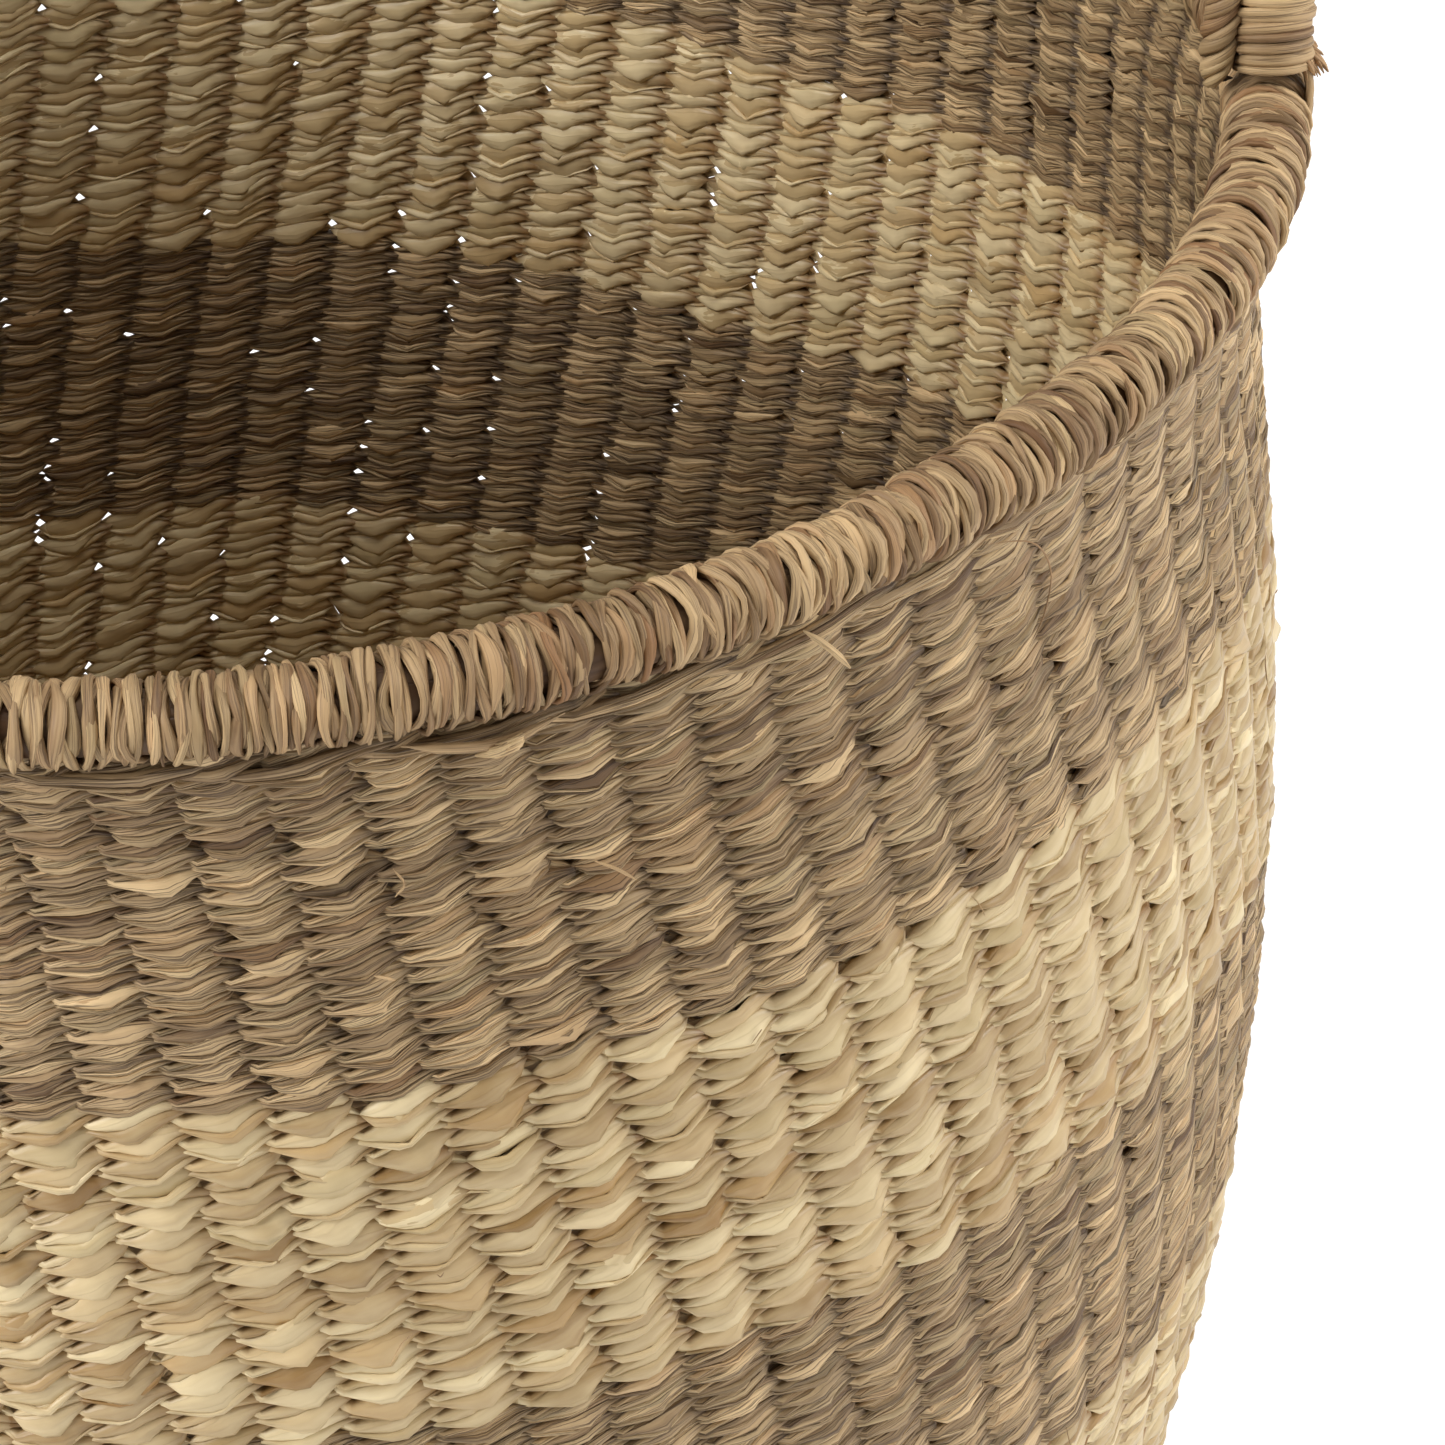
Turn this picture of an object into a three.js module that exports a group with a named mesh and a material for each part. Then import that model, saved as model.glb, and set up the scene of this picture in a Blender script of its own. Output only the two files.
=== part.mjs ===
// Round storage basket, twined from seagrass and pale palm leaf in five colour bands,
// with a bound rim and two upright loop handles. Millimetres, +Z up, origin on the floor
// under the middle of the base. The handles stand over +X and -X.
import * as THREE from 'three';

// Driving dimensions.
const rimRadius = 210;        // centreline of the bound rim
const rimHeight = 385;        // of that centreline above the floor
const rollRadius = 7.5;       // outside of the rim's binding
const wallThickness = 8;      // two twined strands over a stake
const bandHeight = 75;
const footRadius = 198;       // middle of the wall just above the turned base corner
const cornerRadius = 26;      // of the turn from base to wall, at mid thickness
const bellyBulge = 16;        // extra radius at half height
const rimTaper = 6;           // the top is this much wider than the foot
const rimFlare = 6;           // the last turn outwards into the rim
const handleSpan = 124;       // between the middles of a handle's two legs
const handleRise = 78;        // top of the arch above the rim's centreline
const gap = 0.3;              // clearance between neighbouring pieces

// Dimensions that follow from them.
const halfWall = wallThickness / 2;
const sideBottom = halfWall + cornerRadius;
const hoopRadius = rollRadius - 2.6;
const bindingInnerRadius = hoopRadius + gap;
const wallTop = rimHeight - bindingInnerRadius - 0.1;
const flareSharpness = 24;
const baseRadius = footRadius - cornerRadius;

// Base rounds.
const baseStartRadius = 35;
const stakeDoublingRadius = 100;

// Handles.
const outerCoreRadius = 4.5;
const innerCoreRadius = 4;
const bindingThickness = 1.6;
const lashingThickness = 1.6;
const lashingClearance = 1.1;
const lashingLength = 20;
const halfSpan = handleSpan / 2;
const footX = Math.sqrt(rimRadius ** 2 - halfSpan ** 2);
const innerCoreX = footX - outerCoreRadius - innerCoreRadius - 1.8;
const innerLegRadius = 195;
const innerLegX = Math.sqrt(innerLegRadius ** 2 - halfSpan ** 2);
const innerLegDepth = 45;     // the inner legs reach this far down inside the wall
const lashingRadius = rollRadius + lashingClearance + lashingThickness;
const bindingFoot = rimHeight + 16;
const archSpring = rimHeight + 20;
const archFullness = 2.4;     // exponent of the arch's superellipse

const segments = 48;

const naturalSeagrass = material(0xa68f6c, 0.75);
const paleLeaf = material(0xdcc89b, 0.5);
const rimSeagrass = material(0xb4966e, 0.7);
const rattanCore = material(0x9a7446, 0.65);

function material(color, roughness) {
  return new THREE.MeshStandardMaterial({ color, roughness, metalness: 0 });
}

// Radius of the wall's middle at a height above the base corner.
function sideRadius(z) {
  const up = (z - sideBottom) / (wallTop - sideBottom);
  const belly = bellyBulge * Math.sin(Math.PI * up);
  return footRadius + rimTaper * up + belly + rimFlare * up ** flareSharpness;
}

function named(name, geometry, surface) {
  const mesh = new THREE.Mesh(geometry, surface);
  mesh.name = name;
  return mesh;
}

// A ring turned about +Z from a section of [radius, height] points, counter-clockwise.
function ring(name, section, surface) {
  const profile = [...section, section[0]].map(([r, z]) => new THREE.Vector2(r, z));
  const geometry = new THREE.LatheGeometry(profile, segments);
  geometry.rotateX(Math.PI / 2);
  return named(name, geometry, surface);
}

// Points on an arc, both ends included; angles in degrees, 0 outwards and 90 up.
function arc(centre, radius, from, to, steps) {
  return Array.from({ length: steps + 1 }, (_, i) => {
    const angle = THREE.MathUtils.degToRad(from + (to - from) * i / steps);
    return [centre[0] + radius * Math.cos(angle), centre[1] + radius * Math.sin(angle)];
  });
}

// A section like a C, open downwards by opening on each side of its middle.
function openSection(centre, innerRadius, outerRadius, opening, steps) {
  const outer = THREE.MathUtils.radToDeg(Math.asin(opening / outerRadius));
  const inner = THREE.MathUtils.radToDeg(Math.asin(opening / innerRadius));
  return [
    ...arc(centre, outerRadius, -90 + outer, 270 - outer, steps),
    ...arc(centre, innerRadius, 270 - inner, -90 + inner, steps),
  ];
}

function wallBand(name, from, to, surface) {
  const steps = 3;
  const heights = Array.from({ length: steps + 1 }, (_, i) => from + (to - from) * i / steps);
  const outside = heights.map((z) => [sideRadius(z) + halfWall, z]);
  const inside = heights.map((z) => [sideRadius(z) - halfWall, z]).reverse();
  return ring(name, [...outside, ...inside], surface);
}

function wall() {
  const edges = [4, 3, 2, 1].map((n) => wallTop - gap - n * bandHeight);
  const bands = [
    ['band_natural_bottom', sideBottom + gap, edges[0], naturalSeagrass],
    ['band_pale_lower', edges[0] + gap, edges[1], paleLeaf],
    ['band_natural_middle', edges[1] + gap, edges[2], naturalSeagrass],
    ['band_pale_upper', edges[2] + gap, edges[3], paleLeaf],
    ['band_natural_top', edges[3] + gap, wallTop, naturalSeagrass],
  ];
  return bands.map((band) => wallBand(...band));
}

function flatRing(name, innerRadius, outerRadius, surface) {
  const section = [
    [innerRadius, 0],
    [outerRadius, 0],
    [outerRadius, wallThickness],
    [innerRadius, wallThickness],
  ];
  return ring(name, section, surface);
}

function base() {
  const centre = new THREE.CylinderGeometry(
    baseStartRadius, baseStartRadius, wallThickness, segments,
  );
  centre.rotateX(Math.PI / 2);
  centre.translate(0, 0, halfWall);
  const turn = [baseRadius, sideBottom];
  const corner = [
    ...arc(turn, cornerRadius + halfWall, -90, 0, 4),
    ...arc(turn, cornerRadius - halfWall, 0, -90, 4),
  ];
  return [
    named('base_centre', centre, naturalSeagrass),
    flatRing('base_inner_rounds', baseStartRadius + gap, stakeDoublingRadius, naturalSeagrass),
    flatRing(
      'base_outer_rounds', stakeDoublingRadius + gap, baseRadius - gap, naturalSeagrass,
    ),
    ring('base_corner', corner, naturalSeagrass),
  ];
}

function rim() {
  const centre = [rimRadius, rimHeight];
  const opening = halfWall + 0.8;
  const hoop = arc(centre, hoopRadius, 0, 300, 5);
  const binding = openSection(centre, bindingInnerRadius, rollRadius, opening, 8);
  return [
    ring('rim_hoop', hoop, rattanCore),
    ring('rim_binding', binding, rimSeagrass),
  ];
}

// The arch's line above its legs, from the -Y leg over the top to the +Y leg.
function archPoints(x) {
  const steps = 12;
  const height = rimHeight + handleRise - archSpring;
  return Array.from({ length: steps + 1 }, (_, i) => {
    const angle = Math.PI * i / steps;
    const across = Math.abs(Math.cos(angle)) ** (2 / archFullness);
    const up = Math.abs(Math.sin(angle)) ** (2 / archFullness);
    return new THREE.Vector3(
      x, -halfSpan * Math.sign(Math.cos(angle)) * across, archSpring + height * up,
    );
  });
}

// A solid of one section swept from leg to leg; legs lists each leg's [x, z] from its foot up.
function sweep(name, section, x, legs, steps, surface) {
  const rising = legs.map(([legX, z]) => new THREE.Vector3(legX, -halfSpan, z));
  const falling = legs.map(([legX, z]) => new THREE.Vector3(legX, halfSpan, z)).reverse();
  const path = new THREE.CatmullRomCurve3(
    [...rising, ...archPoints(x), ...falling], false, 'centripetal',
  );
  const geometry = new THREE.ExtrudeGeometry(section, { steps, extrudePath: path });
  return named(name, geometry, surface);
}

function roundSection(radius, sides) {
  const corners = arc([0, 0], radius, 0, 360 - 360 / sides, sides - 1);
  return new THREE.Shape(corners.map(([x, y]) => new THREE.Vector2(x, y)));
}

// Two half rounds joined by straights, with its long side across the rim.
function slotOutline(radius, halfLength) {
  const corners = [
    ...arc([halfLength, 0], radius, -90, 90, 4),
    ...arc([-halfLength, 0], radius, 90, 270, 4),
  ];
  return corners.map(([x, y]) => new THREE.Vector2(x, y));
}

// The figure-eight binding round both cores of a handle, open at its two feet.
function handleBinding(name) {
  const middle = (footX + innerCoreX) / 2;
  const halfLength = (footX - innerCoreX) / 2;
  const holeRadius = outerCoreRadius + gap;
  const section = new THREE.Shape(slotOutline(holeRadius + bindingThickness, halfLength));
  section.holes.push(new THREE.Path(slotOutline(holeRadius, halfLength).reverse()));
  return sweep(name, section, middle, [[middle, bindingFoot]], 18, rimSeagrass);
}

// A saddle of strands that ties a leg's foot down over the rim, open below for the wall.
function footLashing(name, side) {
  const opening = halfWall + 2;
  const section = openSection(
    [0, 0], rollRadius + lashingClearance, lashingRadius, opening, 8,
  );
  const outline = new THREE.Shape(section.map(([x, y]) => new THREE.Vector2(x, y)));
  const geometry = new THREE.ExtrudeGeometry(
    outline, { depth: lashingLength, bevelEnabled: false },
  );
  geometry.translate(0, 0, -lashingLength / 2);
  geometry.rotateX(Math.PI / 2);
  const mesh = named(name, geometry, rimSeagrass);
  mesh.rotation.z = side * Math.asin(halfSpan / rimRadius);
  mesh.position.set(footX, side * halfSpan, rimHeight);
  return mesh;
}

// One whole handle over +X, turned about +Z to its own side of the basket.
function handle(prefix, turn) {
  const group = new THREE.Group();
  const outerLegs = [[footX, rimHeight + lashingRadius + gap]];
  const innerLegs = [
    [innerLegX, rimHeight - innerLegDepth],
    [innerLegX, rimHeight],
    [innerCoreX, bindingFoot],
  ];
  group.add(
    sweep(`${prefix}_outer_core`, roundSection(outerCoreRadius, 8), footX, outerLegs, 18,
      rattanCore),
    sweep(`${prefix}_inner_core`, roundSection(innerCoreRadius, 8), innerCoreX, innerLegs, 26,
      rattanCore),
    handleBinding(`${prefix}_binding`),
    footLashing(`${prefix}_lashing_a`, -1),
    footLashing(`${prefix}_lashing_b`, 1),
  );
  group.rotation.z = turn;
  return group;
}

const basket = new THREE.Group();
basket.add(
  ...base(),
  ...wall(),
  ...rim(),
  handle('handle_right', 0),
  handle('handle_left', Math.PI),
);

export default basket;
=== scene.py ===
"""Round seagrass basket: twined strands, stakes, bound rim and bound handles round the frame.

Metres, +Z up. Wall strands are laid out in the wall's own coordinates: u along the row,
s up the wall's mid-line from the middle of the base, n outwards through the wall.
"""
import math

import bpy
import numpy as np
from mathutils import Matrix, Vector


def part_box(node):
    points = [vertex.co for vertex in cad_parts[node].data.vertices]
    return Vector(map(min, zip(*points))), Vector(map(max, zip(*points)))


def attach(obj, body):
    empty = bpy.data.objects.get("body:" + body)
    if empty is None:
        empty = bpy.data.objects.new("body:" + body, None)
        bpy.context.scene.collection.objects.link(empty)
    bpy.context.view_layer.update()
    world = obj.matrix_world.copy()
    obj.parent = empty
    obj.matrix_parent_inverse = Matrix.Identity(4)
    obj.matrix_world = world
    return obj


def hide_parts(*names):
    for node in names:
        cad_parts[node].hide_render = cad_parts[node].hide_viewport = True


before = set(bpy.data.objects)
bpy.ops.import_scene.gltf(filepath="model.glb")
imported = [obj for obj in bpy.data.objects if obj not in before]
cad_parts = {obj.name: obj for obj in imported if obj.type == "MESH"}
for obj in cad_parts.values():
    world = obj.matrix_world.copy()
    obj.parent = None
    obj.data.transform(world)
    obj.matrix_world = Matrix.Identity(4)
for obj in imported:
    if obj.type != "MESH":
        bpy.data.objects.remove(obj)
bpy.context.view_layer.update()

rng = np.random.default_rng(20)
TAU = 2 * math.pi

# Sizes read from the frame.
HALF_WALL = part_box("base_centre")[1].z / 2
BASE_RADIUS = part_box("base_outer_rounds")[1].x
SIDE_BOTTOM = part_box("base_corner")[1].z
CORNER_RADIUS = SIDE_BOTTOM - HALF_WALL
WALL_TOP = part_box("band_natural_top")[1].z
ROLL_RADIUS = (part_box("rim_binding")[1].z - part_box("rim_binding")[0].z) / 2
RIM_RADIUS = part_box("rim_binding")[1].x - ROLL_RADIUS
RIM_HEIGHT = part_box("rim_binding")[1].z - ROLL_RADIUS

# The weave.
STAKES = 88
STAKE_RADIUS = 0.0011
STAKE_LEAN = 0.17            # sideways run of a stake per metre of wall, towards +phi going down
NATURAL_PITCH = 0.00354      # height of one row
PALE_PITCH = 0.00465
STITCH = np.array([-0.5, -0.34, -0.14, 0.0, 0.16, 0.34])   # points of a stitch, in stakes
STITCH_RISE = np.array([-0.36, -0.38, -0.29, -0.15, 0.07, 0.25])    # in row heights
STITCH_WIDTH = np.array([0.0, 0.44, 0.85, 1.0, 0.78, 0.42])  # from narrowest 0 to widest 1
LEAD = 0.07                  # a strand comes out and goes in this early, in stakes
NUDGE = 0.17                 # most that a stitch lies too high or low, in row heights
SHIFT = 0.05                 # spread of its crossings along the row, in stakes
CROSSING_DEPTH = 0.0023      # half depth of a strand where it passes the other one
GAP_SHARE = 0.13             # of the crossings leave a small hole
GAP_SQUEEZE = 0.2            # width and depth left of the strands beside such a hole
SHINGLE = math.radians(11)   # the lower edge of a stitch stands out from the wall
WAVE = ((7, 0.30, 0.4), (11, 0.22, 2.1), (17, 0.16, 4.0))   # rise and fall of all the rows

INTO_ROLL = 0.003            # the wall goes on this far inside the rim's roll

# Hand-made unevenness: the rim is a little oval and stands higher at two opposite places.
OVAL_RADIUS = 0.0043
OVAL_HEIGHT = 0.0062
OVAL_TURN = math.radians(36)
UNEVEN_FROM = 0.15           # height above which it is in full


def srgb(r, g, b):
    """A colour given in 0 to 255 display values, as linear RGBA."""
    def linear(c):
        c /= 255
        return c / 12.92 if c <= 0.04045 else ((c + 0.055) / 1.055) ** 2.4
    return (linear(r), linear(g), linear(b), 1.0)


def smoothstep(x):
    x = np.clip(x, 0, 1)
    return x * x * (3 - 2 * x)


def uneven(p):
    """Moves points of the plain round basket to the slightly uneven real one."""
    wave = np.cos(2 * (np.arctan2(p[..., 1], p[..., 0]) + OVAL_TURN))
    share = wave * smoothstep(p[..., 2] / UNEVEN_FROM)
    tilt = 1 + 0.35 * (p[..., 2] - RIM_HEIGHT) / RIM_RADIUS
    out = p.copy()
    out[..., :2] *= (1 + OVAL_RADIUS / RIM_RADIUS * share)[..., None]
    out[..., 2] += OVAL_HEIGHT * share * tilt
    return out


def walk(shape, smooth, low=-1.0, high=1.0):
    """Random values that change slowly along the last axis, which closes on itself."""
    raw = rng.random(shape)
    n = shape[-1]
    near = np.minimum(np.arange(n), n - np.arange(n))
    kernel = np.exp(-0.5 * (near / smooth) ** 2)
    soft = np.fft.irfft(np.fft.rfft(raw) * np.fft.rfft(kernel), n)
    soft -= soft.mean()
    soft /= soft.std() + 1e-9
    return low + (high - low) * np.clip(0.5 + soft / 4, 0, 1)


# The wall's mid-line, as a table over its length from the middle of the base.

FLAT_STEPS, TURN_STEPS, SIDE_STEPS = 200, 60, 500
SIDE_FROM = FLAT_STEPS + TURN_STEPS     # the table's first entry on the side

def side_points():
    heights, radii = [], []
    for band in ("band_natural_bottom", "band_pale_lower", "band_natural_middle",
                 "band_pale_upper", "band_natural_top"):
        co = np.array([v.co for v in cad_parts[band].data.vertices])
        z = np.round(co[:, 2], 5)
        r = np.hypot(co[:, 0], co[:, 1])
        levels = np.unique(z)
        last = None if band == "band_natural_top" else -1
        for level in levels[:last]:
            heights.append(level)
            radii.append(r[z == level].max() - HALF_WALL)
    return np.array(heights), np.array(radii)


def through(x, xs, ys):
    """A smooth curve through the points."""
    slope = np.gradient(ys, xs)
    i = np.clip(np.searchsorted(xs, x) - 1, 0, len(xs) - 2)
    h = xs[i + 1] - xs[i]
    t = np.clip((x - xs[i]) / h, 0, 1)
    a = (1 + 2 * t) * (1 - t) ** 2 * ys[i] + t * (1 - t) ** 2 * h * slope[i]
    return a + t * t * (3 - 2 * t) * ys[i + 1] + t * t * (t - 1) * h * slope[i + 1]


def mid_line():
    flat = np.linspace(0, BASE_RADIUS, FLAT_STEPS, endpoint=False)
    turn = np.radians(np.linspace(-90, 0, TURN_STEPS, endpoint=False))
    z = np.linspace(SIDE_BOTTOM, WALL_TOP + INTO_ROLL, SIDE_STEPS)
    r = np.concatenate([flat, BASE_RADIUS + CORNER_RADIUS * np.cos(turn),
                        through(z, *side_points())])
    z = np.concatenate([np.full(FLAT_STEPS, HALF_WALL),
                        SIDE_BOTTOM + CORNER_RADIUS * np.sin(turn), z])
    step = np.hypot(np.diff(r), np.diff(z))
    s = np.concatenate([[0], np.cumsum(step)])
    tangent = np.stack([np.gradient(r, s), np.gradient(z, s)])
    tangent /= np.hypot(*tangent)
    return s, r, z, tangent[1], -tangent[0]


LINE_S, LINE_R, LINE_Z, LINE_NR, LINE_NZ = mid_line()


def at_height(z):
    """Length along the mid-line at a height on the side."""
    return np.interp(z, LINE_Z[SIDE_FROM:], LINE_S[SIDE_FROM:])


def at_radius(r):
    """Length along the mid-line at a radius on the base."""
    return np.interp(r, LINE_R[:FLAT_STEPS], LINE_S[:FLAT_STEPS])


def lean(s):
    """How far, in radians, the stakes have turned at a length along the mid-line."""
    start = LINE_S[FLAT_STEPS]
    return -STAKE_LEAN / RIM_RADIUS * np.maximum(s - start, 0)


def on_wall(local):
    """World points of wall coordinates whose u is already an angle."""
    phi, s, n = local[..., 0], local[..., 1], local[..., 2]
    r = np.interp(s, LINE_S, LINE_R) + n * np.interp(s, LINE_S, LINE_NR)
    z = np.interp(s, LINE_S, LINE_Z) + n * np.interp(s, LINE_S, LINE_NZ)
    phi = phi + lean(s)
    return uneven(np.stack([r * np.cos(phi), r * np.sin(phi), z], -1))


# Strands: a centre line in some coordinates, swept with a lens-shaped section.

def section(count):
    angle = TAU * np.arange(count) / count
    return np.cos(angle), np.sin(angle)


def swept(centre, across, half_width, half_depth, tilt, sides, closed):
    """Section points, (strands, points, sides, 3), round centre lines (strands, points, 3).

    across is the coordinate direction that the section's width lies along.
    """
    if closed:
        along = np.roll(centre, -1, 1) - np.roll(centre, 1, 1)
        period = centre[:, -1, 0] - centre[:, 0, 0]
        period = period * centre.shape[1] / (centre.shape[1] - 1)
        along[:, 0, 0] += period
        along[:, -1, 0] += period
    else:
        along = np.gradient(centre, axis=1)
    along /= np.linalg.norm(along, axis=-1, keepdims=True)
    side = np.zeros(centre.shape)
    side[..., across] = 1
    side -= (side * along).sum(-1, keepdims=True) * along
    side /= np.linalg.norm(side, axis=-1, keepdims=True)
    up = np.cross(along, side)
    if across == 0:
        up = -up
    c, s = np.cos(tilt)[..., None], np.sin(tilt)[..., None]
    side, up = side * c + up * s, up * c - side * s
    a, b = section(sides)
    return (centre[:, :, None]
            + (half_width[..., None, None] * a[:, None]) * side[:, :, None]
            + (half_depth[..., None, None] * b[:, None]) * up[:, :, None])


CELL_MARGIN, CELL_EDGE = 0.08, 0.02    # free share of a bake cell, across and at the ends


class Strands:
    """Gathers swept strands into one mesh with its own bake layout and attributes."""

    def __init__(self):
        self.blocks = []

    def add(self, points, look, along, closed, cuts=1):
        """points (S,P,K,3), look (S,P,3) of tone, warmth, painted shade, along (S,P) in metres.

        In the bake layout each strand is cut into so many lengths, one to a cell.
        """
        self.blocks.append((points, look, along, closed, cuts))
        return self

    def build(self, name, material, node, columns=1):
        cells = sum(b[0].shape[0] * b[4] for b in self.blocks)
        rows = math.ceil(cells / columns)
        co, look, fibre, quads, uvs = [], [], [], [], []
        base, cell = 0, 0
        for points, looks, along, closed, cuts in self.blocks:
            strands, count, sides = points.shape[:3]
            co.append(points.reshape(-1, 3))
            look.append(np.repeat(looks.reshape(-1, 3), sides, 0))
            a = section(sides)[0]
            ident = rng.random(strands) * 50
            f = np.empty((strands, count, sides, 3))
            f[..., 0] = along[..., None]
            f[..., 1] = a
            f[..., 2] = ident[:, None, None]
            fibre.append(f.reshape(-1, 3))
            span = count if closed else count - 1
            i = np.arange(span)
            k = np.arange(sides)
            i2, k2 = (i + 1) % count, (k + 1) % sides
            start = (np.arange(strands) * count * sides)[:, None, None] + base
            def index(ii, kk):
                return start + ii[None, :, None] * sides + kk[None, None, :]
            quad = np.stack([index(i, k), index(i2, k), index(i2, k2), index(i, k2)], -1)
            quads.append(quad.reshape(-1, 4))
            run = span / cuts
            cut = np.floor(i / run)
            u0 = (i - cut * run) / run
            u1 = u0 + 1 / run
            number = cell + np.arange(strands)[:, None] * cuts + cut[None]
            col, row = number % columns, number // columns
            low = CELL_MARGIN + (1 - 2 * CELL_MARGIN) * k / sides
            high = CELL_MARGIN + (1 - 2 * CELL_MARGIN) * (k + 1) / sides
            left = (col + CELL_EDGE + (1 - 2 * CELL_EDGE) * u0) / columns
            right = (col + CELL_EDGE + (1 - 2 * CELL_EDGE) * u1) / columns
            low = (row[..., None] + low) / rows
            high = (row[..., None] + high) / rows
            left, right = (np.broadcast_to(x[..., None], low.shape) for x in (left, right))
            uv = np.stack([np.stack([left, low], -1), np.stack([right, low], -1),
                           np.stack([right, high], -1), np.stack([left, high], -1)], -2)
            uvs.append(uv.reshape(-1, 2))
            base += strands * count * sides
            cell += strands * cuts
        return mesh_piece(name, np.concatenate(co), np.concatenate(quads),
                          np.concatenate(uvs), np.concatenate(look), np.concatenate(fibre),
                          material, node)


def mesh_piece(name, co, quads, uv, look, fibre, material, node):
    mesh = bpy.data.meshes.new(name)
    mesh.vertices.add(len(co))
    mesh.vertices.foreach_set("co", co.astype(np.float32).ravel())
    mesh.loops.add(quads.size)
    mesh.loops.foreach_set("vertex_index", quads.astype(np.int32).ravel())
    mesh.polygons.add(len(quads))
    mesh.polygons.foreach_set("loop_start", np.arange(0, quads.size, 4, dtype=np.int32))
    mesh.update(calc_edges=True)
    mesh.shade_smooth()
    layer = mesh.uv_layers.new(name="OFBake")
    layer.uv.foreach_set("vector", uv.astype(np.float32).ravel())
    for label, values in (("look", look), ("fibre", fibre)):
        attribute = mesh.attributes.new(label, "FLOAT_VECTOR", "POINT")
        attribute.data.foreach_set("vector", values.astype(np.float32).ravel())
    mesh.materials.append(material)
    piece = bpy.data.objects.new(name, mesh)
    bpy.context.scene.collection.objects.link(piece)
    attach(piece, "root")
    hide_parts(*([node] if isinstance(node, str) else node))
    return piece


# Materials. Each strand mesh carries look (tone, warmth, painted shade) and fibre (along, across,
# id).

PATCH_STRENGTH = 0.5         # share of the tones that slow patches along a strand run over
SPLIT_WIDTH = 0.04           # of the split noise round its middle that is drawn as a line
SPLIT_RELIEF = 0.8           # depth of a split beside that of the grain
# Painted shade: strands are darkened towards the deep colour where they go in behind another.
PAINTED_SHADE_STRENGTH = 0.8         # of the deep colour where a strand goes in behind another
ROUGHNESS_SPREAD = 0.12
RELIEF_HEIGHT = 0.0003

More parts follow.
